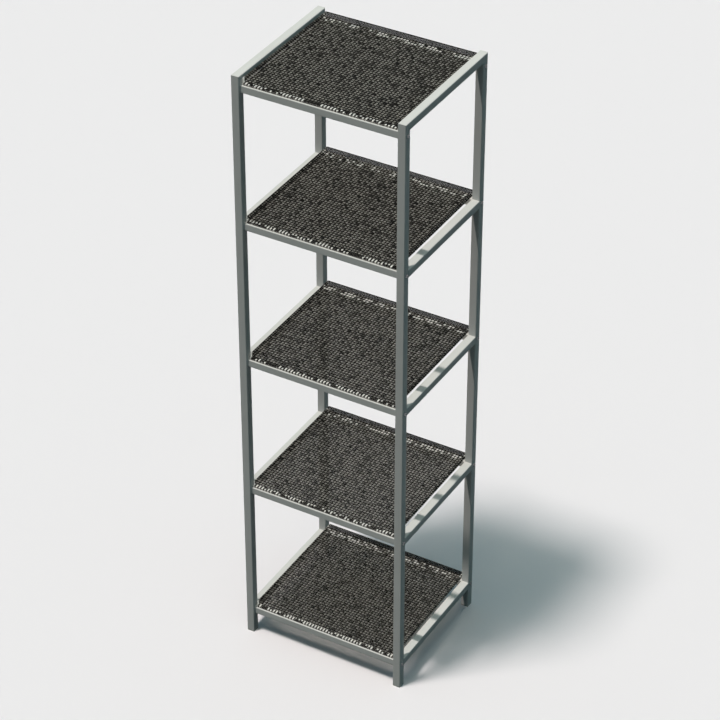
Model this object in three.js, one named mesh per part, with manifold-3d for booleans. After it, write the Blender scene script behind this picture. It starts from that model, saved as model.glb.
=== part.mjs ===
// A free-standing shelving unit. Two side frames of square steel tube stand left and right.
// Ten cross rails are screwed between them, and five wire mesh trays rest on the rails.
//
// Millimetres, +Z up. The origin is the middle of the footprint, on the floor. The front of
// the unit faces -Y and its left side is at -X. Shelf 1 is the lowest.

import * as THREE from 'three';
import { mergeVertices } from 'three/addons/utils/BufferGeometryUtils.js';
import Module from 'manifold-3d';

const wasm = await Module();
wasm.setup();

// Overall sizes
const unitWidth = 412;
const unitDepth = 350;
const unitHeight = 1490;
const shelfCount = 5;
const lowestBarTop = 74; // the floor up to the top of the lowest side bars

// Square tube of the posts and side bars
const tubeSide = 19;
const tubeWall = 1.2;
const tubeCorner = 2;
const leastInnerCornerShare = 0.3; // of the outer corner, where the wall is thick

// Cross rails: lighter square tube with a solid plate welded into each end
const railHeight = 17.4;
const railDepth = 17.2;
const railWall = 1;
const railCorner = 1.5;
const railEndPlate = 5;
const railDrop = 2.5; // top of a side bar down to the top of the rails beside it
const topRailGap = 2.8; // underside of the top side bars down to the top of the top rails
const frontRailInset = 5.7; // front of the posts to the front of the front rails
const rearRailInset = 1; // back of the posts to the back of the rear rails

// Mesh trays: two layers of crossing wires, folded up at the sides and the back
const meshThickness = 2;
const meshBend = 1; // inside radius of the folds along the sides
const floorRise = 2.5; // top of the rails up to the underside of the floor
const lipRise = 15.5; // top of the rails up to the top edge of the lips
const traySideGap = 2.6; // inner face of a post to the tray's side
const trayFrontInset = 3; // front of the front rail to the tray's folded front edge
const trayRearInset = 2; // back of the rear rail to the tray's rear lip
const openingsAcross = 10; // an even number leaves a rib down the middle
const openingsDeep = 9;
const openingRib = 12; // between two openings of the floor

// Screws, thread-forming, with a low round head and a hexagon socket
const screwDiameter = 4.8;
const screwLength = 28;
const screwHeadDiameter = 8.5;
const screwHeadHeight = 2.4;
const screwHeadRim = 0.7; // height of the head's upright edge, below its dome
const screwHeadFlat = 3.6; // flat ring round the socket
const domeShoulderShares = [0.8, 0.75]; // of the head's radius and of the dome's height
const screwSocket = 3; // across the corners
const screwSocketDepth = 1.2;
const screwDrop = 6.5; // top of the rail down to the screw's axis

// Foot plugs, pressed into the lower ends of the posts
const plugFlange = 2;
const plugStem = 14;
const plugWall = 2;

// Clearances and cutting
const fitGap = 0.3; // between pieces that are cut to fit each other
const overrun = 3; // how far a cutter passes the face that it cuts
const mitreBlockShare = 3; // side of the mitre cutter, of the tube's side
const cornerSteps = 2;
const holeSides = 12;
const headSides = 12;
const socketSides = 6;
const quarterTurn = Math.PI / 2;

// Sizes that follow from these
const halfWidth = unitWidth / 2;
const halfDepth = unitDepth / 2;
const postX = halfWidth - tubeSide / 2;
const postY = halfDepth - tubeSide / 2;
const clearWidth = unitWidth - 2 * tubeSide;
const clearDepth = unitDepth - 2 * tubeSide;
const postLength = unitHeight - plugFlange;
const holeDiameter = screwDiameter + 2 * fitGap;
const frontRailY = -halfDepth + frontRailInset + railDepth / 2;
const rearRailY = halfDepth - rearRailInset - railDepth / 2;
const trayWidth = clearWidth - 2 * traySideGap;
const trayFront = -halfDepth + frontRailInset + trayFrontInset;
const trayRear = halfDepth - rearRailInset - trayRearInset;
const trayDepth = trayRear - trayFront;

const shelfPitch = (unitHeight - lowestBarTop) / (shelfCount - 1);

const shelves = Array.from({ length: shelfCount }, (_, index) => {
  const barTop = lowestBarTop + index * shelfPitch;
  const isTop = index === shelfCount - 1;
  const railTop = isTop ? barTop - tubeSide - topRailGap : barTop - railDrop;
  return { number: index + 1, isTop, barTop, railTop, screwZ: railTop - screwDrop };
});

// Finishes
const framePaint = new THREE.MeshStandardMaterial({ color: '#b4b6b2', roughness: 0.45, metalness: 0.1 });
const meshPaint = new THREE.MeshStandardMaterial({ color: '#4a4945', roughness: 0.6, metalness: 0.1 });
const screwPlate = new THREE.MeshStandardMaterial({ color: '#c9cbc9', roughness: 0.25, metalness: 0.9 });
const plugPlastic = new THREE.MeshStandardMaterial({ color: '#7d7f7c', roughness: 0.6, metalness: 0 });

// Joining and cutting work on closed solids, and the result comes back as a geometry.
function toSolid(geometry) {
  const bare = geometry.clone();
  bare.deleteAttribute('normal');
  bare.deleteAttribute('uv');
  const merged = mergeVertices(bare);
  return new wasm.Manifold(new wasm.Mesh({
    numProp: 3,
    vertProperties: new Float32Array(merged.attributes.position.array),
    triVerts: new Uint32Array(merged.index.array),
  }));
}

function toGeometry(solid) {
  const { vertProperties, triVerts } = solid.getMesh();
  const geometry = new THREE.BufferGeometry();
  geometry.setAttribute('position', new THREE.BufferAttribute(vertProperties, 3));
  geometry.setIndex(new THREE.BufferAttribute(triVerts, 1));
  geometry.computeVertexNormals();
  return geometry;
}

// A rectangle with round corners, centred on the origin, traced into a shape or a hole.
function traceRounded(path, width, height, corner) {
  const x = width / 2 - corner;
  const y = height / 2 - corner;
  path.moveTo(-x, -y - corner);
  path.lineTo(x, -y - corner);
  path.absarc(x, -y, corner, -quarterTurn, 0);
  path.lineTo(x + corner, y);
  path.absarc(x, y, corner, 0, quarterTurn);
  path.lineTo(-x, y + corner);
  path.absarc(-x, y, corner, quarterTurn, 2 * quarterTurn);
  path.lineTo(-x - corner, -y);
  path.absarc(-x, -y, corner, 2 * quarterTurn, 3 * quarterTurn);
  return path;
}

// A bar of rounded rectangular section along Z, from z = 0. With a wall it is a tube.
function roundedBar(width, height, corner, length, wall = 0) {
  const shape = traceRounded(new THREE.Shape(), width, height, corner);
  if (wall > 0) {
    const innerCorner = Math.max(corner - wall, corner * leastInnerCornerShare);
    shape.holes.push(traceRounded(new THREE.Path(), width - 2 * wall, height - 2 * wall, innerCorner));
  }
  return new THREE.ExtrudeGeometry(shape, { depth: length, bevelEnabled: false, curveSegments: cornerSteps });
}

// A round cutter along X, centred on the origin.
function crossHole(diameter, length) {
  return new THREE.CylinderGeometry(diameter / 2, diameter / 2, length, holeSides).rotateZ(quarterTurn);
}

// A block with one face on the 45 degree joint between a post and a top bar. The joint's
// middle is at (y, z), and the block lies towards (towardY, towardZ). It reaches half the
// fit gap past the joint, so that the post and the bar each give up half of the gap.
function mitreBlock(y, z, towardY, towardZ) {
  const side = mitreBlockShare * tubeSide;
  const reach = (side - fitGap) / 2 / Math.SQRT2;
  const block = new THREE.BoxGeometry(side, side, side).rotateX(quarterTurn / 2);
  return block.translate(0, y + towardY * reach, z + towardZ * reach);
}

// A front post, standing on z = 0: cut to the joint at its top and drilled for the screws.
// Turned half round it is a rear post.
function post() {
  let solid = toSolid(roundedBar(tubeSide, tubeSide, tubeCorner, postLength, tubeWall));
  solid = solid.subtract(toSolid(mitreBlock(0, postLength - tubeSide / 2, 1, 1)));
  for (const shelf of shelves) {
    const hole = crossHole(holeDiameter, tubeSide + 2 * overrun);
    solid = solid.subtract(toSolid(hole.translate(0, 0, shelf.screwZ - plugFlange)));
  }
  return toGeometry(solid);
}

// A side bar along Y, centred on the origin, that butts against both posts.
function sideBar() {
  const bar = roundedBar(tubeSide, tubeSide, tubeCorner, clearDepth, tubeWall);
  return bar.translate(0, 0, -clearDepth / 2).rotateX(quarterTurn);
}

// A top side bar: it runs the full depth and is cut at both ends to the joints.
function topBar() {
  const bar = roundedBar(tubeSide, tubeSide, tubeCorner, unitDepth, tubeWall);
  const solid = toSolid(bar.translate(0, 0, -halfDepth).rotateX(quarterTurn))
    .subtract(toSolid(mitreBlock(-postY, 0, -1, -1)))
    .subtract(toSolid(mitreBlock(postY, 0, 1, -1)));
  return toGeometry(solid);
}

// A cross rail along X, centred on the origin: a closed tube with a screw hole in each end
// plate. screwY is the hole's place across the rail.
function crossRail(screwY) {
  const hollowLength = clearWidth - 2 * railEndPlate;
  const hollowHeight = railHeight - 2 * railWall;
  const hollowDepth = railDepth - 2 * railWall;
  const outer = roundedBar(railHeight, railDepth, railCorner, clearWidth);
  const hollow = roundedBar(hollowHeight, hollowDepth, railCorner - railWall, hollowLength);
  outer.translate(0, 0, -clearWidth / 2).rotateY(quarterTurn);
  hollow.translate(0, 0, -hollowLength / 2).rotateY(quarterTurn);
  const hole = crossHole(holeDiameter, clearWidth + 2 * overrun);
  hole.translate(0, screwY, railHeight / 2 - screwDrop);
  return toGeometry(toSolid(outer).subtract(toSolid(hollow)).subtract(toSolid(hole)));
}

// A block between two opposite corners, each given as [x, y, z].
function block(low, high) {
  const geometry = new THREE.BoxGeometry();
  const points = geometry.attributes.position.array;
  points.forEach((value, index) => {
    points[index] = value < 0 ? low[index % 3] : high[index % 3];
  });
  return geometry;
}

// The space above the tray's floor, between the side lips, in x and z.
function traceInside(shape) {
  const half = trayWidth / 2 - meshThickness;
  const bottom = meshThickness;
  const top = lipRise - floorRise + overrun;
  shape.moveTo(half, top);
  shape.lineTo(-half, top);
  shape.lineTo(-half, bottom + meshBend);
  shape.absarc(-half + meshBend, bottom + meshBend, meshBend, 2 * quarterTurn, 3 * quarterTurn);
  shape.lineTo(half - meshBend, bottom);
  shape.absarc(half - meshBend, bottom + meshBend, meshBend, -quarterTurn, 0);
  return shape;
}

// The space below the tray's floor and round its folded sides, in x and z.
function traceUnderside(shape) {
  const half = trayWidth / 2;
  const bend = meshBend + meshThickness;
  const bottom = -floorRise - overrun;
  shape.moveTo(-half - overrun, bottom);
  shape.lineTo(half + overrun, bottom);
  shape.lineTo(half + overrun, bend);
  shape.lineTo(half, bend);
  shape.absarc(half - bend, bend, bend, 0, -quarterTurn, true);
  shape.lineTo(-half + bend, 0);
  shape.absarc(-half + bend, bend, bend, 3 * quarterTurn, 2 * quarterTurn, true);
  shape.lineTo(-half - overrun, bend);
  return shape;
}

// A cutter of a section in x and z, from y = back towards the front.
function trayCutter(shape, back, depth) {
  const cutter = new THREE.ExtrudeGeometry(shape, { depth, bevelEnabled: false, curveSegments: cornerSteps });
  return toSolid(cutter.rotateX(quarterTurn).translate(0, back, 0));
}

// Cutters for a plain grid of openings in the tray's floor. The fine mesh has far more and
// smaller ones, but ribs of this width weigh about as much as its wires.
function floorOpenings() {
  const halfFloor = trayWidth / 2 - meshThickness - meshBend;
  const front = trayFront + meshThickness;
  const pitchX = 2 * halfFloor / openingsAcross;
  const pitchY = (trayRear - meshThickness - front) / openingsDeep;
  const cutters = [];
  for (let column = 0; column < openingsAcross; column += 1) {
    for (let row = 0; row < openingsDeep; row += 1) {
      const x = -halfFloor + column * pitchX + openingRib / 2;
      const y = front + row * pitchY + openingRib / 2;
      const far = [x + pitchX - openingRib, y + pitchY - openingRib, meshThickness + overrun];
      cutters.push(toSolid(block([x, y, -overrun], far)));
    }
  }
  return cutters;
}

// A mesh tray, with z = 0 at its floor's underside and y as in the finished unit. The front
// edge is folded down on to the front rail. The rear lip stands on the rear rail.
function meshTray() {
  const half = trayWidth / 2;
  const whole = block([-half, trayFront, -floorRise], [half, trayRear, lipRise - floorRise]);
  const back = trayRear - meshThickness;
  const inside = trayCutter(traceInside(new THREE.Shape()), back, trayDepth + overrun);
  const underside = trayCutter(traceUnderside(new THREE.Shape()), back, trayDepth - 2 * meshThickness);
  const sheet = toSolid(whole).subtract(inside).subtract(underside);
  return toGeometry(floorOpenings().reduce((solid, cutter) => solid.subtract(cutter), sheet));
}

// A screw with its axis on X: the head's underside is at x = 0 and the shank runs to -x.
function screw() {
  const headRadius = screwHeadDiameter / 2;
  const shankRadius = screwDiameter / 2;
  const shoulderRadius = headRadius * domeShoulderShares[0];
  const shoulderHeight = screwHeadRim + (screwHeadHeight - screwHeadRim) * domeShoulderShares[1];
  const profile = [
    new THREE.Vector2(0, -screwLength),
    new THREE.Vector2(shankRadius, -screwLength),
    new THREE.Vector2(shankRadius, 0),
    new THREE.Vector2(headRadius, 0),
    new THREE.Vector2(headRadius, screwHeadRim),
    new THREE.Vector2(shoulderRadius, shoulderHeight),
    new THREE.Vector2(screwHeadFlat / 2, screwHeadHeight),
    new THREE.Vector2(0, screwHeadHeight),
  ];
  const body = new THREE.LatheGeometry(profile, headSides);
  const socketRadius = screwSocket / 2;
  const socketLength = screwSocketDepth + overrun;
  const socket = new THREE.CylinderGeometry(socketRadius, socketRadius, socketLength, socketSides);
  socket.translate(0, screwHeadHeight + overrun - socketLength / 2, 0);
  return toGeometry(toSolid(body).subtract(toSolid(socket))).rotateZ(-quarterTurn);
}

// A foot plug: a flange the size of the post, and above it a hollow stem inside the post.
function footPlug() {
  const stemSide = tubeSide - 2 * tubeWall - 2 * fitGap;
  const stemCorner = tubeCorner - tubeWall;
  const flange = roundedBar(tubeSide, tubeSide, tubeCorner, plugFlange);
  const stem = roundedBar(stemSide, stemSide, stemCorner, plugFlange + plugStem);
  const hollowSide = stemSide - 2 * plugWall;
  const hollow = roundedBar(hollowSide, hollowSide, stemCorner, plugStem + overrun);
  hollow.translate(0, 0, plugFlange);
  return toGeometry(toSolid(flange).add(toSolid(stem)).subtract(toSolid(hollow)));
}

const unit = new THREE.Group();

function place(name, geometry, material, x, y, z, turn = 0) {
  const piece = new THREE.Mesh(geometry, material);
  piece.name = name;
  piece.position.set(x, y, z);
  piece.rotation.z = turn;
  unit.add(piece);
}

const halfTurn = 2 * quarterTurn;
const sides = [{ name: 'left', sign: -1 }, { name: 'right', sign: 1 }];
const ends = [{ name: 'front', sign: -1 }, { name: 'rear', sign: 1 }];
const postGeometry = post();
const plugGeometry = footPlug();
const screwGeometry = screw();
const barGeometry = sideBar();
const topBarGeometry = topBar();
const frontRailGeometry = crossRail(-postY - frontRailY);
const rearRailGeometry = crossRail(postY - rearRailY);
const trayGeometry = meshTray();

for (const side of sides) {
  for (const end of ends) {
    const corner = `${end.name}_${side.name}`;
    const x = side.sign * postX;
    const y = end.sign * postY;
    place(`post_${corner}`, postGeometry, framePaint, x, y, plugFlange, end.sign > 0 ? halfTurn : 0);
    place(`foot_plug_${corner}`, plugGeometry, plugPlastic, x, y, 0);
    for (const shelf of shelves) {
      const turn = side.sign > 0 ? 0 : halfTurn;
      place(`screw_${corner}_${shelf.number}`, screwGeometry, screwPlate,
        side.sign * halfWidth, y, shelf.screwZ, turn);
    }
  }
  for (const shelf of shelves) {
    const geometry = shelf.isTop ? topBarGeometry : barGeometry;
    place(`side_bar_${side.name}_${shelf.number}`, geometry, framePaint,
      side.sign * postX, 0, shelf.barTop - tubeSide / 2);
  }
}

for (const shelf of shelves) {
  const railZ = shelf.railTop - railHeight / 2;
  place(`front_rail_${shelf.number}`, frontRailGeometry, framePaint, 0, frontRailY, railZ);
  place(`rear_rail_${shelf.number}`, rearRailGeometry, framePaint, 0, rearRailY, railZ);
  place(`mesh_tray_${shelf.number}`, trayGeometry, meshPaint, 0, 0, shelf.railTop + floorRise);
}

export default unit;
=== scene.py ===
# %% [markdown]
# # A shelving unit in square steel tube and wire mesh
#
# The unit is two welded side frames, ten cross rails screwed between them and five mesh
# trays that lie on the rails. The imported model already holds every piece at its real size,
# so this lesson only gives the pieces their surfaces: soft edges and powder coat on the
# tubes, real crossing wires in the trays, domed heads and threads on the screws.
#
# The first cell loads that model.
# Blender works in metres, but sizes of furniture are given in millimetres. `MM` turns one
# into the other.

# %% Load the frame
import math

import bmesh
import bpy
from mathutils import Matrix, Vector


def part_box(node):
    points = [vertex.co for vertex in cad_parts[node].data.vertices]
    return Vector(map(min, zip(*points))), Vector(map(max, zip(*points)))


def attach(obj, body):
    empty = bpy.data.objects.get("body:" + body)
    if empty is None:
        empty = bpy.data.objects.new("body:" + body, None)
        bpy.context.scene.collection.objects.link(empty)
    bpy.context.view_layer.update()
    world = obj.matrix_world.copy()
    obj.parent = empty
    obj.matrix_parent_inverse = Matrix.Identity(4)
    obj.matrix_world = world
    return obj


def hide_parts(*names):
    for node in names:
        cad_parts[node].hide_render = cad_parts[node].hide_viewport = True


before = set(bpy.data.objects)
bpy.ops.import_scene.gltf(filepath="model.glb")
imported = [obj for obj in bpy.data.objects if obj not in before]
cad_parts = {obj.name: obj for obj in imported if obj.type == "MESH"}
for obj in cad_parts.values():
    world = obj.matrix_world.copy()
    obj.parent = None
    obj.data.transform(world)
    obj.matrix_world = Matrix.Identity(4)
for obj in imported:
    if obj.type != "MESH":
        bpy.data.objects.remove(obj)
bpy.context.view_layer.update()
MM = 0.001

sides = ("left", "right")
ends = ("front", "rear")
shelf_numbers = range(1, 1 + sum(name.startswith("mesh_tray_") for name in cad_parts))
print(len(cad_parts), "nodes,", len(shelf_numbers), "shelves")

# %% [markdown]
# ## The camera
#
# The picture was taken with a long lens from the front right, looking down at the unit.
# A long lens is far away, so the uprights lean in only a little towards the floor. The
# angles below are those of the line of sight, in degrees, and the roll is zero. The lens
# and the sensor are in millimetres, as on a real camera.

# %% Camera
VIEW_AZIMUTH = 30.02
VIEW_ELEVATION = 35.14
LENS = 138.15
SENSOR_WIDTH = 36.0
CAMERA_PLACE = Vector((2.5074, -4.3403, 4.2700))
FARTHEST_SEEN = 60.0


def new_object(name, data):
    """An object that holds the given data, linked to the scene."""
    made = bpy.data.objects.new(name, data)
    bpy.context.scene.collection.objects.link(made)
    return made


camera_data = bpy.data.cameras.new("camera")
camera_data.lens = LENS
camera_data.sensor_width = SENSOR_WIDTH
camera_data.clip_end = FARTHEST_SEEN
camera = new_object("camera", camera_data)
camera.location = CAMERA_PLACE
camera.rotation_euler = (math.radians(90 - VIEW_ELEVATION), 0, math.radians(VIEW_AZIMUTH))
bpy.context.scene.camera = camera
print("camera", round(CAMERA_PLACE.length, 2), "m from the feet")

# %% [markdown]
# ## Two small helpers
#
# Colours are written as the hex values that a paint chart or a screen shows. Blender's
# shaders want linear light, so one function converts them. The other function adds a node
# to any tree, shader or geometry: its inputs are given as values or as the sockets of
# other nodes, and it makes the links.

# %% Helpers for colours and nodes
def linear(hex_colour):
    """The linear red, green, blue and alpha of an sRGB colour such as #cacbcb."""
    channels = [int(hex_colour[i:i + 2], 16) / 255 for i in (1, 3, 5)]
    return [c / 12.92 if c <= 0.04045 else ((c + 0.055) / 1.055) ** 2.4
            for c in channels] + [1.0]


def add(tree, kind, inputs=None, **settings):
    """Add a node. Inputs that are given as sockets are linked, and others are set."""
    node = tree.nodes.new(kind)
    for name, value in settings.items():
        setattr(node, name, value)
    for name, value in (inputs or {}).items():
        if isinstance(value, bpy.types.NodeSocket):
            tree.links.new(value, node.inputs[name])
        else:
            node.inputs[name].default_value = value
    return node


print("half-way grey, #808080, is", round(linear("#808080")[0], 3), "in linear light")

# %% [markdown]
# ## The floor
#
# The unit stands on a plain floor, so wide that it fills the picture. It is coated with
# matt paint, which gives the eye no highlight. It is pale where it is seen, directly or in
# a reflection. Diffuse light finds it dark, so that it doesn't fill the shaded faces from
# below. The Light Path node tells the two apart, because it knows what sort of ray has
# hit the surface.

# %% Floor
FLOOR_SEEN = "#e6e3ea"
FLOOR_BOUNCE = "#2e2e2d"
FLOOR_ROUGHNESS = 0.9
FLOOR_SPECULAR = 0.1
FLOOR_HALF = 14.0


def seen_directly(tree):
    """A factor that is 1 for camera, glossy and transmission rays and 0 for the others."""
    ray = add(tree, "ShaderNodeLightPath").outputs
    either = add(tree, "ShaderNodeMath", {
        0: ray["Is Camera Ray"], 1: ray["Is Glossy Ray"]}, operation="MAXIMUM")
    any_of = add(tree, "ShaderNodeMath", {
        0: either.outputs[0], 1: ray["Is Transmission Ray"]}, operation="MAXIMUM")
    return any_of.outputs[0]


def new_material(name):
    """A material that uses nodes, with its tree and its shader."""
    material = bpy.data.materials.new(name)
    material.use_nodes = True
    return material, material.node_tree, material.node_tree.nodes["Principled BSDF"]


floor_paint, tree, shader = new_material("matt pale floor paint")
shader.inputs["Roughness"].default_value = FLOOR_ROUGHNESS
shader.inputs["Specular IOR Level"].default_value = FLOOR_SPECULAR
floor_colour = add(tree, "ShaderNodeMix", {
    0: seen_directly(tree), 6: linear(FLOOR_BOUNCE), 7: linear(FLOOR_SEEN)}, data_type="RGBA")
tree.links.new(floor_colour.outputs[2], shader.inputs["Base Color"])

floor_mesh = bpy.data.meshes.new("floor")
corners = [(-FLOOR_HALF, -FLOOR_HALF, 0), (FLOOR_HALF, -FLOOR_HALF, 0),
           (FLOOR_HALF, FLOOR_HALF, 0), (-FLOOR_HALF, FLOOR_HALF, 0)]
floor_mesh.from_pydata(corners, [], [(0, 1, 2, 3)])
floor_mesh.materials.append(floor_paint)
floor = new_object("floor", floor_mesh)
print("floor", 2 * FLOOR_HALF, "m wide")

# %% [markdown]
# ## The world
#
# The world adds a dim, cool light, strongest from above. The right-hand faces get hardly
# any other. Where the world itself is seen, it has the floor's shade, so that views from
# low down have hardly a horizon.

# %% World
WORLD_SEEN = "#ececec"
WORLD_LIGHT = "#aee1ea"
WORLD_OVERHEAD = 0.40
WORLD_HORIZON = 0.05

world = bpy.data.worlds.new("studio")
world.use_nodes = True
bpy.context.scene.world = world
tree = world.node_tree
seen = seen_directly(tree)
world_colour = add(tree, "ShaderNodeMix", {
    0: seen, 6: linear(WORLD_LIGHT), 7: linear(WORLD_SEEN)}, data_type="RGBA")
direction = add(tree, "ShaderNodeSeparateXYZ", {
    0: add(tree, "ShaderNodeTexCoord").outputs["Generated"]})
ceiling = add(tree, "ShaderNodeMapRange", {
    "Value": direction.outputs["Z"], "To Min": WORLD_HORIZON, "To Max": WORLD_OVERHEAD})
world_strength = add(tree, "ShaderNodeMix", {
    0: seen, 2: ceiling.outputs[0], 3: 1.0}, data_type="FLOAT")
background = tree.nodes["Background"].inputs
tree.links.new(world_colour.outputs[2], background["Color"])
tree.links.new(world_strength.outputs[0], background["Strength"])
bpy.context.scene.view_settings.view_transform = "Standard"
print("world light from", WORLD_HORIZON, "at the horizon to", WORLD_OVERHEAD, "overhead")

# %% [markdown]
# ## The lamps
#
# One high lamp from the front left makes the tops of the bars the brightest faces, leaves
# the fronts at middle grey and the right-hand faces in shade. It is small, so the cross
# rails throw clear bands of shadow on the side bars below them. A second lamp, overhead,
# is weak and broad: it gives those bands their soft neutral grey and hardly reaches the
# upright faces. A third, as weak, lights the back of the frame, which would go nearly
# black in a view from behind.
#
# All three are suns. The light of a sun travels one way everywhere, and the angle that
# the lamp fills in the sky, in degrees, softens its shadows.

# %% Lamps
def sun(name, strength, colour, travel, softness):
    """A distant lamp whose light travels along a direction."""
    data = bpy.data.lights.new(name, "SUN")
    data.energy = strength
    data.color = linear(colour)[:3]
    data.angle = math.radians(softness)
    made = new_object(name, data)
    made.rotation_euler = Vector(travel).to_track_quat("-Z", "Y").to_euler()
    return made


lamp = sun("lamp", strength=2.5, colour="#fff7ee",
           travel=(0.17, 0.245, -1.0), softness=0.8)
overhead_lamp = sun("overhead_lamp", strength=0.56, colour="#fffbe2",
                    travel=(0.0, 0.20, -1.0), softness=30.0)
back_lamp = sun("back_lamp", strength=0.5, colour="#fff6ea",
                travel=(0.2, -1.0, -0.3), softness=40.0)
print("lamps:", ", ".join(f"{one.name} {one.data.energy:.2f}"
                          for one in (lamp, overhead_lamp, back_lamp)))

# %% [markdown]
# ## Powder coat on the frame
#
# The tubes are steel with a pale silver-grey powder coat: paint that is sprayed on as dry
# powder and baked, so that it melts into a thick skin. To the eye it is satin, even and
# not quite flat: under a grazing lamp it shows the slow ripple called orange peel, and its
# gloss and shade drift a little from place to place. The real ripple has 1 to 2 mm from
# crest to crest, less than a pixel of the picture, so it is drawn at 3 mm. A noise texture
# uses only the middle of its range, from about 0.3 to 0.7, so its 0.2 mm stand for a skin
# that rises and falls by about 0.03 mm.
#
# A bump is enough here, because the ripple never shows in the outline. The same function
# makes the darker coat of the mesh, with its own colour, ripple and gloss.

# %% Powder coat
FRAME_GREY = "#cacbcb"
NOISE_LOW, NOISE_HIGH = 0.3, 0.7
DRIFT_MM = 90
DRIFT_SHARE = 0.03
GLOSS_PATCH_MM = 12
GLOSS_DRIFT = 0.05
COAT_IOR = 1.5


def drifting_grey(tree, place):
    """The frame's grey, which wanders a little lighter and darker along the tubes."""
    drift = add(tree, "ShaderNodeTexNoise", {
        "Vector": place, "Scale": 1 / (DRIFT_MM * MM), "Detail": 3.0})
    shade = add(tree, "ShaderNodeMapRange", {
        "Value": drift.outputs["Fac"], "From Min": NOISE_LOW, "From Max": NOISE_HIGH,
        "To Min": 1 - DRIFT_SHARE, "To Max": 1 + DRIFT_SHARE})
    return add(tree, "ShaderNodeVectorMath", {
        0: linear(FRAME_GREY)[:3], "Scale": shade.outputs[0]}, operation="SCALE").outputs[0]


def coat_material(name, colour_of, roughness, specular, peel_mm, peel_height_mm):
    """Powder coat in the colour that a function works out from the place."""
    material, tree, shader = new_material(name)
    place = add(tree, "ShaderNodeTexCoord").outputs["Object"]
    tree.links.new(colour_of(tree, place), shader.inputs["Base Color"])

    patches = add(tree, "ShaderNodeTexNoise", {
        "Vector": place, "Scale": 1 / (GLOSS_PATCH_MM * MM), "Detail": 2.0})
    gloss = add(tree, "ShaderNodeMapRange", {
        "Value": patches.outputs["Fac"], "From Min": NOISE_LOW, "From Max": NOISE_HIGH,
        "To Min": roughness - GLOSS_DRIFT, "To Max": roughness + GLOSS_DRIFT})
    tree.links.new(gloss.outputs[0], shader.inputs["Roughness"])

    peel = add(tree, "ShaderNodeTexNoise", {
        "Vector": place, "Scale": 1 / (peel_mm * MM), "Detail": 1.0})
    bump = add(tree, "ShaderNodeBump", {
        "Height": peel.outputs["Fac"], "Distance": peel_height_mm * MM, "Strength": 1.0})
    tree.links.new(bump.outputs[0], shader.inputs["Normal"])
    shader.inputs["IOR"].default_value = COAT_IOR
    shader.inputs["Specular IOR Level"].default_value = specular
    return material


frame_coat = coat_material("silver-grey powder coat on steel tube", drifting_grey,
                           roughness=0.5, specular=0.03, peel_mm=3.0, peel_height_mm=0.2)
print("coat:", frame_coat.name)

# %% [markdown]
# ## Powder coat on the mesh
#
# The mesh has the same kind of coat in dark grey. Its colour also carries painted light:
# the glints of the lamp on the wire crossings are painted highlights, in small round spots,
# and the wire between them is drawn much darker, as painted shade. To the eye that is a
# dark, evenly grained sheet. A real crossing comes every 2.5 mm and is under a pixel of the
# picture, so the painted glints are drawn three pitches apart, as coarse as they need to
# be to show.
#
# A Voronoi texture with little randomness is nearly a square grid: its distance makes the
# round spots of painted highlight, and its colour gives every spot random numbers of its
# own. The little that is left breaks up the rows, which stand out at three pitches and
# wouldn't at one. The height of a place is added to both axes, so that the grid also climbs
# the lips.

# %% A grid of painted glints
PITCH = 2.5
GLINT_SPACING_MM = 3 * PITCH
GLINT_GRID_RANDOMNESS = 0.2
GLINT_SPOT_INNER, GLINT_SPOT_OUTER = 0.05, 0.50


def painted_glint_grid(tree, place, axes):
    """How far a place lies in a painted glint spot, from 0 to 1, and two random numbers of it.
    """
    over_lips = add(tree, "ShaderNodeVectorMath", {
        0: axes["Z"], 1: (1, 1, 0), 2: place}, operation="MULTIPLY_ADD")
    grid = add(tree, "ShaderNodeTexVoronoi", {
        "Vector": over_lips.outputs[0], "Scale": 1 / (GLINT_SPACING_MM * MM),
        "Randomness": GLINT_GRID_RANDOMNESS}, voronoi_dimensions="2D")
    # A round spot of painted highlight at each point of the grid.
    glint_spot = add(tree, "ShaderNodeMapRange", {
        "Value": grid.outputs["Distance"], "From Min": GLINT_SPOT_INNER, "From Max": GLINT_SPOT_OUTER,
        "To Min": 1.0, "To Max": 0.0}, interpolation_type="SMOOTHSTEP")
    chance = add(tree, "ShaderNodeSeparateColor", {0: grid.outputs["Color"]}).outputs
    return glint_spot.outputs[0], chance["Red"], chance["Green"]


print("a knot every", GLINT_SPACING_MM, "mm")

# %% [markdown]
# Where a tray lies over a rail, the bright top of the rail glints through the openings.
# That is painted too: half of the glint spots over the rear rail are drawn nearly white, as
# painted highlights. Over the front rail the painted highlights are short pale streaks, one
# spot apart, in two rows just behind the fold. A white noise picks the streaks that show,
# and a smooth noise crowds them in some places and thins them out in others. The cells of
# the white noise are short in height, so that each tray has its own streaks.

# %% Painted highlight streaks over the front rail
STREAK_INNER, STREAK_OUTER = 0.06, 0.32
STREAK_ROW_MM = 4.25
STREAK_GROUP_MM = 40.0
GROUP_LOW, GROUP_HIGH = 0.4, 0.6
FEWEST_STREAKS, MOST_STREAKS = 0.45, 0.9
FRONT_BAND_MIDDLE_MM = -161.5
TRAY_STEP_MM = 50.0


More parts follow.
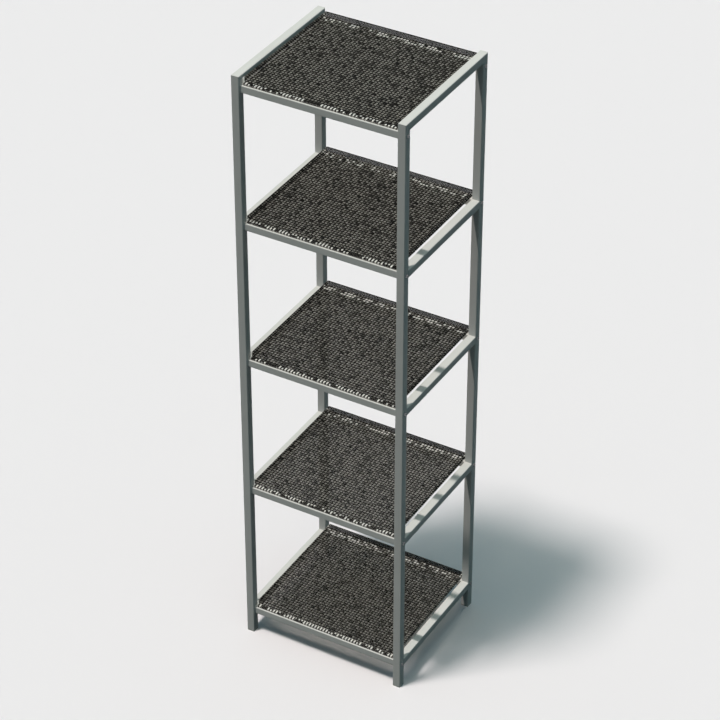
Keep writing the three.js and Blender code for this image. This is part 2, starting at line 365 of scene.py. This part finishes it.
def front_streaks(tree, place, axes):
    """Where the front edge of a tray is, and how far a place lies in a painted highlight streak
    there.
    """
    across = add(tree, "ShaderNodeMath", {
        0: axes["X"], 1: 1 / (GLINT_SPACING_MM * MM)}, operation="MULTIPLY")
    wave = add(tree, "ShaderNodeMath", {0: across.outputs[0], 1: 0.5}, operation="PINGPONG")
    streak = add(tree, "ShaderNodeMapRange", {
        "Value": wave.outputs[0],
        "From Min": 0.5 - STREAK_OUTER, "From Max": 0.5 - STREAK_INNER},
        interpolation_type="SMOOTHSTEP")
    cell = add(tree, "ShaderNodeVectorMath", {
        0: place, 1: (GLINT_SPACING_MM * MM, STREAK_ROW_MM * MM, TRAY_STEP_MM * MM)}, operation="SNAP")
    chance = add(tree, "ShaderNodeTexWhiteNoise", {"Vector": cell.outputs[0]})
    groups = add(tree, "ShaderNodeTexNoise", {
        "Vector": place, "Scale": 1 / (STREAK_GROUP_MM * MM), "Detail": 0.0})
    share = add(tree, "ShaderNodeMapRange", {
        "Value": groups.outputs["Fac"], "From Min": GROUP_LOW, "From Max": GROUP_HIGH,
        "To Min": FEWEST_STREAKS, "To Max": MOST_STREAKS})
    chosen = add(tree, "ShaderNodeMath", {
        0: chance.outputs["Value"], 1: share.outputs[0]}, operation="LESS_THAN")
    shown = add(tree, "ShaderNodeMath", {
        0: chosen.outputs[0], 1: streak.outputs[0]}, operation="MULTIPLY")
    in_rows = add(tree, "ShaderNodeMath", {
        0: axes["Y"], 1: FRONT_BAND_MIDDLE_MM * MM, 2: STREAK_ROW_MM * MM}, operation="COMPARE")
    part = add(tree, "ShaderNodeMath", {
        0: shown.outputs[0], 1: in_rows.outputs[0]}, operation="MULTIPLY")
    in_front = add(tree, "ShaderNodeMath", {
        0: axes["Y"], 1: (FRONT_BAND_MIDDLE_MM + STREAK_ROW_MM) * MM}, operation="LESS_THAN")
    return in_front.outputs[0], part.outputs[0]


print("streaks from", FRONT_BAND_MIDDLE_MM - STREAK_ROW_MM,
      "to", FRONT_BAND_MIDDLE_MM + STREAK_ROW_MM, "mm")

# %% [markdown]
# The colour puts the parts together. Between the glint spots the wire has a small share of
# the mesh's grey, which is painted shade, and in a spot it has a multiple of it, different
# for each spot, which is painted highlight. The front edge and the rear lip are seen almost
# edge on, so their glints are drawn dull, as painted shade on those strips. Over the rails
# the pale painted highlight takes over, in slightly wider spots.

# %% Coat of the mesh
# The glint numbers below scale painted highlights on the wire, the dull share is painted shade
# between them, and the pale rail colour is a painted highlight.
MESH_GREY = "#3c3b39"
DULL_SHADE = 0.04
FLOOR_GLINT = 9.4
EDGE_GLINT = 2.0
GLINT_SPREAD = 0.55
LIP_START_MM = 169.5
PAINTED_RAIL_GLINT = "#f2f2f0"
RAIL_SHARE = 0.5
RAIL_WIDENING = 0.7
REAR_BAND_MIDDLE_MM = 158.0
REAR_BAND_HALF_MM = 8.0


def grey_with_painted_glints(tree, place):
    """The mesh's grey with painted highlights and shade, duller at the edges and pale over the
    rails.
    """
    axes = add(tree, "ShaderNodeSeparateXYZ", {0: place}).outputs
    glint_spot, shade_chance, rail_chance = painted_glint_grid(tree, place, axes)
    in_front, front_rail_glint = front_streaks(tree, place, axes)

    # Painted shade: weaker glints on the front fold and the rear lip.
    in_lip = add(tree, "ShaderNodeMath", {
        0: axes["Y"], 1: LIP_START_MM * MM}, operation="GREATER_THAN")
    painted_shade_at_edges = add(tree, "ShaderNodeMath", {
        0: in_lip.outputs[0], 1: in_front}, operation="MAXIMUM")
    strongest = add(tree, "ShaderNodeMix", {
        0: painted_shade_at_edges.outputs[0], 2: FLOOR_GLINT, 3: EDGE_GLINT}, data_type="FLOAT")
    spread = add(tree, "ShaderNodeMath", {0: shade_chance, 1: GLINT_SPREAD}, operation="POWER")
    glint = add(tree, "ShaderNodeMath", {
        0: spread.outputs[0], 1: strongest.outputs[0]}, operation="MULTIPLY")
    shade = add(tree, "ShaderNodeMath", {
        0: glint_spot, 1: glint.outputs[0], 2: DULL_SHADE}, operation="MULTIPLY_ADD")
    wire = add(tree, "ShaderNodeVectorMath", {
        0: linear(MESH_GREY)[:3], "Scale": shade.outputs[0]}, operation="SCALE")

    # Painted highlight: the lit tops of the rails, drawn pale on the wire over them.
    over_rear = add(tree, "ShaderNodeMath", {
        0: axes["Y"], 1: REAR_BAND_MIDDLE_MM * MM, 2: REAR_BAND_HALF_MM * MM},
        operation="COMPARE")
    rail_glint_chosen = add(tree, "ShaderNodeMath", {
        0: rail_chance, 1: RAIL_SHARE}, operation="LESS_THAN")
    rear_glint_chosen = add(tree, "ShaderNodeMath", {
        0: over_rear.outputs[0], 1: rail_glint_chosen.outputs[0]}, operation="MULTIPLY")
    wide_glint_spot = add(tree, "ShaderNodeMath", {0: glint_spot, 1: RAIL_WIDENING}, operation="POWER")
    rear_rail_glint = add(tree, "ShaderNodeMath", {
        0: rear_glint_chosen.outputs[0], 1: wide_glint_spot.outputs[0]}, operation="MULTIPLY")
    painted_rail_glint = add(tree, "ShaderNodeMath", {
        0: rear_rail_glint.outputs[0], 1: front_rail_glint}, operation="MAXIMUM")
    return add(tree, "ShaderNodeMix", {
        0: painted_rail_glint.outputs[0], 6: wire.outputs[0], 7: linear(PAINTED_RAIL_GLINT)},
        data_type="RGBA").outputs[2]


# This coat carries the painted highlights and shade of the mesh.
mesh_coat = coat_material("dark grey powder coat on mesh wire with painted glints", grey_with_painted_glints,
                          roughness=0.55, specular=0.08, peel_mm=0.6, peel_height_mm=0.02)
print("coat:", mesh_coat.name)

# %% [markdown]
# ## Zinc plate
#
# The screws are steel with a thin electroplated skin of zinc. It has dulled in the air, so
# the eye finds a soft metal sheen with cloudy patches instead of a mirror. The real clouds
# are about 2 mm across. They are drawn at 4 mm, so that they show on a head of 8.5 mm.

# %% Zinc plate
CLOUD_MM = 4
ZINC_DARK, ZINC_PALE = "#5f6365", "#7b7e7f"
ZINC_GLOSSIEST, ZINC_DULLEST = 0.30, 0.45

zinc, tree, shader = new_material("dulled zinc plate on steel")
place = add(tree, "ShaderNodeTexCoord").outputs["Object"]
cloud = add(tree, "ShaderNodeTexNoise", {
    "Vector": place, "Scale": 1 / (CLOUD_MM * MM), "Detail": 4.0})
zinc_colour = add(tree, "ShaderNodeMix", {
    0: cloud.outputs["Fac"], 6: linear(ZINC_DARK), 7: linear(ZINC_PALE)}, data_type="RGBA")
gloss = add(tree, "ShaderNodeMapRange", {
    "Value": cloud.outputs["Fac"], "To Min": ZINC_GLOSSIEST, "To Max": ZINC_DULLEST})
tree.links.new(zinc_colour.outputs[2], shader.inputs["Base Color"])
tree.links.new(gloss.outputs[0], shader.inputs["Roughness"])
shader.inputs["Metallic"].default_value = 1.0
print("plate:", zinc.name)

# %% [markdown]
# ## Moulded plastic
#
# The foot plugs are grey polypropylene, moulded in a spark-eroded tool that leaves a fine
# grain. To the eye that is a dull, slightly mottled grey without highlights. The real
# grain is about 0.3 mm, and it is drawn at 1.5 mm.

# %% Moulded plastic
GRAIN_MM = 1.5
GRAIN_HEIGHT_MM = 0.03
PLASTIC_DARK, PLASTIC_PALE = "#767875", "#858783"
PLASTIC_ROUGHNESS = 0.62
PLASTIC_IOR = 1.49

plastic, tree, shader = new_material("grained grey polypropylene")
place = add(tree, "ShaderNodeTexCoord").outputs["Object"]
grain = add(tree, "ShaderNodeTexNoise", {
    "Vector": place, "Scale": 1 / (GRAIN_MM * MM), "Detail": 2.0})
plastic_colour = add(tree, "ShaderNodeMix", {
    0: grain.outputs["Fac"], 6: linear(PLASTIC_DARK), 7: linear(PLASTIC_PALE)},
    data_type="RGBA")
bump = add(tree, "ShaderNodeBump", {
    "Height": grain.outputs["Fac"], "Distance": GRAIN_HEIGHT_MM * MM, "Strength": 1.0})
tree.links.new(plastic_colour.outputs[2], shader.inputs["Base Color"])
tree.links.new(bump.outputs[0], shader.inputs["Normal"])
shader.inputs["Roughness"].default_value = PLASTIC_ROUGHNESS
shader.inputs["IOR"].default_value = PLASTIC_IOR
print("plastic:", plastic.name)

# %% [markdown]
# ## Tubes with soft edges
#
# A drawn tube has rounded corners along its length, but its sawn ends and drilled holes
# are sharp until the coat goes on and rounds them by a fraction of a millimetre. The model
# has the sharp shapes. Each tube is copied, its loose triangles are merged into flat
# faces, and a narrow bevel takes the sharpness off. The bevel looks only at edges that
# turn by more than 40 degrees, so the rounded corners stay as they are and are shaded
# smooth. The plastic plugs get the same, a little wider.

# %% A function for soft edges
MERGE_MM = 0.002
FLAT_TURN = math.radians(0.5)
SHARP_TURN = math.radians(40)
BEVEL_STEPS = 2
ROUND_PROFILE = 0.5


def softened(node, material, edge_mm):
    """A copy of a CAD node with merged faces and bevelled edges, which then replaces it."""
    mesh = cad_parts[node].data.copy()
    mesh.name = f"{node}_finish"
    work = bmesh.new()
    work.from_mesh(mesh)
    bmesh.ops.remove_doubles(work, verts=work.verts, dist=MERGE_MM * MM)
    bmesh.ops.dissolve_limit(work, angle_limit=FLAT_TURN, verts=work.verts, edges=work.edges)
    sharp = [e for e in work.edges
             if len(e.link_faces) == 2 and e.calc_face_angle(0) > SHARP_TURN]
    bmesh.ops.bevel(work, geom=sharp, offset=edge_mm * MM, segments=BEVEL_STEPS,
                    profile=ROUND_PROFILE, affect="EDGES", clamp_overlap=True)
    for face in work.faces:
        face.smooth = True
    work.to_mesh(mesh)
    work.free()
    mesh.materials.clear()
    mesh.materials.append(material)
    piece = new_object(f"{node}_finish", mesh)
    piece.modifiers.new("flat faces stay flat", "WEIGHTED_NORMAL")
    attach(piece, "root")
    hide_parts(node)
    return piece


print("edges that turn by over", round(math.degrees(SHARP_TURN)), "degrees are softened")

# %% Tubes and plugs
TUBE_EDGE_MM = 0.25
PLUG_EDGE_MM = 0.4

tube_names = [f"post_{end}_{side}" for end in ends for side in sides]
tube_names += [f"side_bar_{side}_{number}" for side in sides for number in shelf_numbers]
tube_names += [f"{end}_rail_{number}" for end in ends for number in shelf_numbers]
tubes = [softened(name, frame_coat, TUBE_EDGE_MM) for name in tube_names]

plug_names = [f"foot_plug_{end}_{side}" for end in ends for side in sides]
plugs = [softened(name, plastic, PLUG_EDGE_MM) for name in plug_names]
print(len(tubes), "tubes and", len(plugs), "plugs,",
      sum(len(piece.data.polygons) for piece in tubes + plugs), "faces")

# %% [markdown]
# ## The mesh trays
#
# A tray is a sheet of fine steel mesh, folded up at the sides and the back and down at the
# front. The mesh is two layers of wire, welded where they cross, one wire every 2.5 mm.
# The real wire is probably about 1 mm thick. It is drawn at 1.6 mm, because through the
# wider openings the pale floor would wash out the dark mesh.
#
# A bump map or a see-through texture would look flat at the folds and wrong from below, so
# the wires are real. There are about 300 long ones in each tray, and all of them follow
# one of a few simple paths. Geometry Nodes suit that: each row of wires is one folded
# path, swept once and set down again and again at the pitch of the mesh.
#
# The outer layer runs across the unit and turns up into the side lips. The inner layer
# runs from front to back, folds down on to the front rail and turns up into the rear lip.

# %% Sizes of a tray, in millimetres
WIRE = 1.6
EDGE_WIRE = 1.8
SHEET = 2.0
BEND = 3.0
FLOOR_RISE = 2.5

tray_low, tray_high = (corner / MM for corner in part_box("mesh_tray_1"))
tray_sizes = {
    "Left": tray_low.x, "Right": tray_high.x,
    "Front": tray_low.y, "Back": tray_high.y,
    "Foot": 0.0, "Floor": FLOOR_RISE, "Lip": tray_high.z - tray_low.z,
    "Wire": WIRE, "Pitch": PITCH, "Sheet": SHEET, "Bend": BEND, "Edge Wire": EDGE_WIRE,
}
print("tray", [round(v, 1) for v in tray_high - tray_low], "mm")

# %% [markdown]
# The tree gets its sizes as named inputs, in millimetres. Three functions keep it
# readable: `total` adds sizes up, each with its sign, `row` sweeps a wire through some
# points and repeats it, and `count_between` says how often.

# %% The tree of a tray
tray_tree = bpy.data.node_groups.new("mesh tray", "GeometryNodeTree")
tray_tree.interface.new_socket("Tray", in_out="OUTPUT", socket_type="NodeSocketGeometry")
for name in tray_sizes:
    tray_tree.interface.new_socket(name, in_out="INPUT", socket_type="NodeSocketFloat")
tray_tree.interface.new_socket("Coat", in_out="INPUT", socket_type="NodeSocketMaterial")
size = {socket.name: socket
        for socket in add(tray_tree, "NodeGroupInput").outputs if socket.name}


def total(*terms):
    """The sum of sizes, each given as a socket, a number or a (factor, size) pair."""
    answer = 0.0
    for term in terms:
        factor, value = term if isinstance(term, tuple) else (1.0, term)
        step = add(tray_tree, "ShaderNodeMath", {0: value, 1: factor, 2: answer},
                   operation="MULTIPLY_ADD")
        answer = step.outputs[0]
    return answer


print(len(size), "inputs:", ", ".join(size))

# %% [markdown]
# A row starts as a line of as many points as the path has corners. Each point is moved to
# its corner, the line becomes a curve with rounded bends, and a small ring is swept along
# it. Six sides are enough for a wire that is under a pixel thick. The size of a bend is
# the radius of the wire's outer side, and the middle of the wire has half a wire less. The
# wire is then set down on a second line of points, one pitch apart.

# %% A row of wires
WIRE_SIDES = 6
BEND_STEPS = 3
bend_radius = total(size["Bend"], (-0.5, size["Wire"]))


def row(points, thickness, count, step):
    """A wire through some (x, y, z) points, bent at each inner one, repeated at a step."""
    line = add(tray_tree, "GeometryNodeMeshLine", {"Count": len(points)})
    corner = add(tray_tree, "GeometryNodeIndexSwitch", data_type="VECTOR")
    while len(corner.index_switch_items) < len(points):
        corner.index_switch_items.new()
    index = add(tray_tree, "GeometryNodeInputIndex")
    tray_tree.links.new(index.outputs[0], corner.inputs[0])
    for number, (x, y, z) in enumerate(points):
        place = add(tray_tree, "ShaderNodeCombineXYZ", {0: x, 1: y, 2: z})
        tray_tree.links.new(place.outputs[0], corner.inputs[1 + number])
    placed = add(tray_tree, "GeometryNodeSetPosition", {
        "Geometry": line.outputs[0], "Position": corner.outputs[0]})
    curve = add(tray_tree, "GeometryNodeMeshToCurve", {"Mesh": placed.outputs[0]})
    if len(points) > 2:
        curve = add(tray_tree, "GeometryNodeFilletCurve", {
            "Curve": curve.outputs[0], "Count": BEND_STEPS, "Radius": bend_radius,
            "Limit Radius": True}, mode="POLY")
    ring = add(tray_tree, "GeometryNodeCurvePrimitiveCircle", {
        "Resolution": WIRE_SIDES, "Radius": total((0.5, thickness))})
    wire = add(tray_tree, "GeometryNodeCurveToMesh", {
        "Curve": curve.outputs[0], "Profile Curve": ring.outputs[0], "Fill Caps": True})
    smooth = add(tray_tree, "GeometryNodeSetShadeSmooth", {"Geometry": wire.outputs[0]})
    steps = add(tray_tree, "GeometryNodeMeshLine", {"Count": count, "Offset": step})
    return add(tray_tree, "GeometryNodeInstanceOnPoints", {
        "Points": steps.outputs[0], "Instance": smooth.outputs[0]}).outputs[0]


def count_between(start, end):
    """How many wires fit from one place to another at the pitch, the first one included."""
    pitches = add(tray_tree, "ShaderNodeMath", {
        0: total(end, (-1.0, start)), 1: size["Pitch"]}, operation="DIVIDE")
    return add(tray_tree, "FunctionNodeFloatToInt", {0: total(pitches.outputs[0], 1.0)},
               rounding_mode="FLOOR").outputs[0]


print("wires with", WIRE_SIDES, "sides, bends in", BEND_STEPS, "steps")

# %% [markdown]
# Now the places that the rows share: the middles of the two layers on the floor, in the
# lips and in the front fold, all half a wire in from the sheet's faces.

# %% Places in the tray
half_wire = (0.5, size["Wire"])
less_half_wire = (-0.5, size["Wire"])
less_sheet = (-1.0, size["Sheet"])

floor_outer = total(size["Floor"], half_wire)
floor_inner = total(size["Floor"], size["Sheet"], less_half_wire)
left_outer = total(size["Left"], half_wire)
left_inner = total(size["Left"], size["Sheet"], less_half_wire)
right_outer = total(size["Right"], less_half_wire)
right_inner = total(size["Right"], less_sheet, half_wire)
front_outer = total(size["Front"], half_wire)
front_inner = total(size["Front"], size["Sheet"], less_half_wire)
back_outer = total(size["Back"], less_half_wire)
back_inner = total(size["Back"], less_sheet, half_wire)

lip_top = total(size["Lip"], (-0.5, size["Edge Wire"]))
lip_start = total(size["Floor"], size["Bend"])
foot_start = total(size["Foot"], half_wire)
floor_start_x = total(size["Left"], size["Bend"], half_wire)
floor_end_x = total(size["Right"], (-1.0, size["Bend"]), less_half_wire)
floor_start_y = total(size["Front"], size["Bend"])

step_x, step_y, step_z = (
    add(tray_tree, "ShaderNodeCombineXYZ", {axis: size["Pitch"]}).outputs[0] for axis in "XYZ")
print("floor of the tray from", FLOOR_RISE, "to", FLOOR_RISE + SHEET, "mm over its foot")

# %% Long rows
# Across the unit: up one side lip, over the floor and up the other.
across_row = row(
    [(left_outer, floor_start_y, lip_top), (left_outer, floor_start_y, floor_outer),
     (right_outer, floor_start_y, floor_outer), (right_outer, floor_start_y, lip_top)],
    size["Wire"], count_between(floor_start_y, back_inner), step_y)

# Front to back: up from the front rail, along the floor and up the rear lip.
along_row = row(
    [(floor_start_x, front_outer, size["Foot"]), (floor_start_x, front_outer, floor_inner),
     (floor_start_x, back_inner, floor_inner), (floor_start_x, back_inner, lip_top)],
    size["Wire"], count_between(floor_start_x, floor_end_x), step_x)

rows = [across_row, along_row]
print(len(rows), "long rows")

# %% [markdown]
# Then the short rows: level wires in the four upright strips, the legs that carry the rear
# lip down to the rear rail, and one thicker wire round the top of the lips, where the cut
# ends are tucked in.

# %% Rows in the upright strips
FOLD_WIRES = 2

for x in (left_inner, right_inner):
    rows.append(row(
        [(x, floor_start_y, lip_start), (x, back_inner, lip_start)],
        size["Wire"], count_between(lip_start, lip_top), step_z))

rows.append(row(
    [(left_outer, back_outer, foot_start), (right_outer, back_outer, foot_start)],
    size["Wire"], count_between(foot_start, lip_top), step_z))
rows.append(row(
    [(left_outer, front_inner, foot_start), (right_outer, front_inner, foot_start)],
    size["Wire"], FOLD_WIRES, step_z))
rows.append(row(
    [(floor_start_x, back_inner, size["Foot"]), (floor_start_x, back_inner, lip_start)],
    size["Wire"], count_between(floor_start_x, floor_end_x), step_x))

rim_left = total(size["Left"], (0.5, size["Sheet"]))
rim_right = total(size["Right"], (-0.5, size["Sheet"]))
rim_back = total(size["Back"], (-0.5, size["Sheet"]))
rows.append(row(
    [(rim_left, floor_start_y, lip_top), (rim_left, rim_back, lip_top),
     (rim_right, rim_back, lip_top), (rim_right, floor_start_y, lip_top)],
    size["Edge Wire"], 1, step_z))
print(len(rows), "rows of wires")

# %% The end of the tree
joined = add(tray_tree, "GeometryNodeJoinGeometry")
for wires in rows:
    tray_tree.links.new(wires, joined.inputs[0])
in_metres = add(tray_tree, "GeometryNodeTransform", {
    "Geometry": joined.outputs[0], "Scale": (MM, MM, MM)})
real = add(tray_tree, "GeometryNodeRealizeInstances", {0: in_metres.outputs[0]})
coated = add(tray_tree, "GeometryNodeSetMaterial", {
    "Geometry": real.outputs[0], "Material": size["Coat"]})
add(tray_tree, "NodeGroupOutput", {0: coated.outputs[0]})
print(len(tray_tree.nodes), "nodes in the tree")

# %% [markdown]
# The modifier is put on a carrier object, its inputs are set by their identifiers, and the
# evaluated result becomes a plain mesh. One tray is worked out, on an empty carrier, and
# all five are copies of it, each moved up to its own rails.

# %% Make the trays
def evaluated(name, group, values, start=None):
    """The plain mesh that a node group makes with the given inputs from a start mesh."""
    carrier = new_object(name, bpy.data.meshes.new(name) if start is None else start)
    modifier = carrier.modifiers.new("build", "NODES")
    modifier.node_group = group
    for item in group.interface.items_tree:
        if item.in_out == "INPUT" and item.name in values:
            modifier[item.identifier] = values[item.name]
    bpy.context.view_layer.update()
    seen_now = carrier.evaluated_get(bpy.context.evaluated_depsgraph_get())
    mesh = bpy.data.meshes.new_from_object(seen_now)
    carrier.modifiers.clear()
    bpy.data.objects.remove(carrier)
    mesh.name = name
    return mesh


tray_mesh = evaluated("tray", tray_tree, {**tray_sizes, "Coat": mesh_coat})
trays = []
for number in shelf_numbers:
    mesh = tray_mesh.copy()
    mesh.transform(Matrix.Translation((0, 0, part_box(f"mesh_tray_{number}")[0].z)))
    tray = new_object(f"mesh_tray_{number}_wires", mesh)
    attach(tray, "root")
    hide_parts(f"mesh_tray_{number}")
    trays.append(tray)
print("a tray has", len(tray_mesh.polygons), "faces")

# %% [markdown]
# ## A lamp each for the frame, the trays and the floor
#
# In the picture every tray is as bright as the one above it, and only the rails throw
# shadows, on the bars below them. Real wires would dim each shelf more than the last. Light
# linking settles that: the lamp is kept for the frame, with its screws and plugs, and the
# trays block neither it nor the two weak lamps. A twin from the same direction lights the
# trays, without shadows. A second twin lights the floor, where the trays do throw their
# shadow. It is softer, because the wires and rails would otherwise draw a busy pattern on
# the floor that takes the eye off the unit.

# %% Light linking
FLOOR_SHADOW_SOFTNESS = 9.0


def light_group(name, members, state):
    """A collection for light linking, with its members all included or all excluded."""
    group = bpy.data.collections.new(name)
    for member in members:
        group.objects.link(member)
    for item in group.collection_objects:
        item.light_linking.link_state = state
    return group


def twin_lamp(name, receivers):
    """A lamp like the first, which lights only the receivers."""
    made = new_object(name, lamp.data.copy())
    made.rotation_euler = lamp.rotation_euler
    made.light_linking.receiver_collection = receivers
    return made


tray_lamp = twin_lamp("tray_lamp", light_group("trays only", trays, "INCLUDE"))
tray_lamp.data.use_shadow = False
floor_lamp = twin_lamp("floor_lamp", light_group("floor only", [floor], "INCLUDE"))
floor_lamp.data.angle = math.radians(FLOOR_SHADOW_SOFTNESS)

frame_alone = light_group("all but the trays and the floor", trays + [floor], "EXCLUDE")
no_trays = light_group("all but the trays", trays, "EXCLUDE")
for source in (lamp, back_lamp):
    source.light_linking.receiver_collection = frame_alone
for source in (lamp, back_lamp, overhead_lamp):
    source.light_linking.blocker_collection = no_trays
print("a lamp each for the frame,", len(trays), "trays and the floor")

# %% [markdown]
# ## Screws
#
# Twenty thread-forming screws hold the rails. Each has a low domed head with a hexagon
# socket, and a rolled thread. The shape is made once, ring by ring: every ring has the
# same number of points, so neighbouring rings join with plain four-sided faces. The
# socket's hexagon is a ring whose radius changes with the angle, and the thread is a radius
# that rises and falls with the height plus the angle, which makes a helix.

# %% Sizes of a screw, in millimetres
SCREW_SIDES = 24
HEAD_RADIUS = 4.25
HEAD_HEIGHT = 2.4
HEAD_RIM = 0.7
DOME_RINGS = 5
SOCKET_RADIUS = 1.5
SOCKET_MOUTH_RADIUS = 1.75
SOCKET_DEPTH = 1.2
SOCKET_MOUTH_DEPTH = 0.15
SHANK_RADIUS = 2.4
SHANK_LENGTH = 28.0
THREAD_DEPTH = 0.45
THREAD_PITCH = 1.6
RINGS_PER_TURN = 6
angles = [2 * math.pi * i / SCREW_SIDES for i in range(SCREW_SIDES)]
print("a screw is", HEAD_HEIGHT + SHANK_LENGTH, "mm long")

# %% Rings of a screw
def head_rings():
    """Rings of (x, radius at each angle) from the socket's floor over the dome."""
    sector = math.pi / 3
    hexagon = [SOCKET_RADIUS * math.cos(sector / 2) / math.cos(a % sector - sector / 2)
               for a in angles]
    rings = [(HEAD_HEIGHT - SOCKET_DEPTH, hexagon),
             (HEAD_HEIGHT - SOCKET_MOUTH_DEPTH, hexagon),
             (HEAD_HEIGHT, [SOCKET_MOUTH_RADIUS] * SCREW_SIDES)]
    for step in range(1, DOME_RINGS + 1):
        angle = math.pi / 2 * step / DOME_RINGS
        x = HEAD_RIM + (HEAD_HEIGHT - HEAD_RIM) * math.cos(angle)
        radius = SOCKET_MOUTH_RADIUS + (HEAD_RADIUS - SOCKET_MOUTH_RADIUS) * math.sin(angle)
        rings.append((x, [radius] * SCREW_SIDES))
    rings.append((0.0, [HEAD_RADIUS] * SCREW_SIDES))
    return rings


def shank_rings():
    """Rings from under the head along the thread to the blunt tip."""
    rings = [(0.0, [SHANK_RADIUS - THREAD_DEPTH] * SCREW_SIDES)]
    turns = int((SHANK_LENGTH - 2 * THREAD_PITCH) / THREAD_PITCH)
    for step in range(turns * RINGS_PER_TURN + 1):
        x = -THREAD_PITCH * (0.5 + step / RINGS_PER_TURN)
        rise = [abs(2 * ((x / THREAD_PITCH + a / (2 * math.pi)) % 1) - 1) for a in angles]
        rings.append((x, [SHANK_RADIUS - THREAD_DEPTH * r for r in rise]))
    rings.append((-SHANK_LENGTH, [SHANK_RADIUS / 2] * SCREW_SIDES))
    return rings


print(len(head_rings()), "rings in the head and", len(shank_rings()), "in the shank")

# %% One screw
SCREW_SHARP_TURN = math.radians(35)


def screw_mesh():
    """The closed skin over all rings, with its sharp edges marked."""
    work = bmesh.new()
    loops = [[work.verts.new((x * MM, r * MM * math.cos(a), r * MM * math.sin(a)))
              for a, r in zip(angles, radii)] for x, radii in head_rings() + shank_rings()]
    for near, far in zip(loops, loops[1:]):
        for i in range(SCREW_SIDES):
            j = (i + 1) % SCREW_SIDES
            work.faces.new((near[i], near[j], far[j], far[i]))
    work.faces.new(loops[0][::-1])
    work.faces.new(loops[-1])
    bmesh.ops.recalc_face_normals(work, faces=work.faces)
    for face in work.faces:
        face.smooth = True
    for edge in work.edges:
        edge.smooth = edge.calc_face_angle(0) < SCREW_SHARP_TURN
    mesh = bpy.data.meshes.new("screw")
    work.to_mesh(mesh)
    work.free()
    return mesh


one_screw = new_object("one_screw", screw_mesh())
print("a screw has", len(one_screw.data.polygons), "faces")

# %% [markdown]
# Geometry Nodes then set the screw down at twenty points. A point carries the direction
# that its head faces, and a random turn about the axis, with a fixed seed, because no two
# screws stop with their sockets at the same angle.

# %% The tree of the screws
screw_tree = bpy.data.node_groups.new("screws on points", "GeometryNodeTree")
screw_tree.interface.new_socket("Screws", in_out="OUTPUT", socket_type="NodeSocketGeometry")
screw_inputs = {"Points": "Geometry", "Screw": "Object", "Plate": "Material", "Seed": "Int"}
for name, kind in screw_inputs.items():
    screw_tree.interface.new_socket(name, in_out="INPUT", socket_type=f"NodeSocket{kind}")

given = add(screw_tree, "NodeGroupInput").outputs
facing = add(screw_tree, "GeometryNodeInputNamedAttribute", {"Name": "facing"},
             data_type="FLOAT_VECTOR")
aligned = add(screw_tree, "FunctionNodeAlignRotationToVector", {
    "Vector": facing.outputs[0]}, axis="X")
spin = add(screw_tree, "FunctionNodeRandomValue", {
    "Seed": given["Seed"], 3: 2 * math.pi}, data_type="FLOAT")
about = add(screw_tree, "FunctionNodeAxisAngleToRotation", {
    "Axis": (1, 0, 0), "Angle": spin.outputs[1]})
turned = add(screw_tree, "FunctionNodeRotateRotation", {
    0: aligned.outputs[0], 1: about.outputs[0]}, rotation_space="LOCAL")
shape = add(screw_tree, "GeometryNodeObjectInfo", {"Object": given["Screw"]})
copies = add(screw_tree, "GeometryNodeInstanceOnPoints", {
    "Points": given["Points"], "Instance": shape.outputs["Geometry"],
    "Rotation": turned.outputs[0]})
solid = add(screw_tree, "GeometryNodeRealizeInstances", {0: copies.outputs[0]})
plated = add(screw_tree, "GeometryNodeSetMaterial", {
    "Geometry": solid.outputs[0], "Material": given["Plate"]})
add(screw_tree, "NodeGroupOutput", {0: plated.outputs[0]})
print(len(screw_tree.nodes), "nodes in the tree")

# %% Twenty screws
SCREW_SEED = 7

screw_names = [f"screw_{end}_{side}_{number}"
               for end in ends for side in sides for number in shelf_numbers]
seats, directions = [], []
for name in screw_names:
    low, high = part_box(name)
    outwards = -1 if "left" in name else 1
    outermost = low.x if outwards < 0 else high.x
    middle = (low + high) / 2
    seats.append((outermost - outwards * HEAD_HEIGHT * MM, middle.y, middle.z))
    directions += [outwards, 0, 0]

seat_points = bpy.data.meshes.new("screw_seats")
seat_points.from_pydata(seats, [], [])
seat_points.attributes.new("facing", "FLOAT_VECTOR", "POINT").data.foreach_set(
    "vector", directions)
all_screws = evaluated("all_screws", screw_tree, {
    "Screw": one_screw, "Plate": zinc, "Seed": SCREW_SEED}, seat_points)
bpy.data.objects.remove(one_screw)

screws = new_object("screws", all_screws)
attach(screws, "root")
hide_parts(*screw_names)
print(len(seats), "screws,", len(all_screws.polygons), "faces")
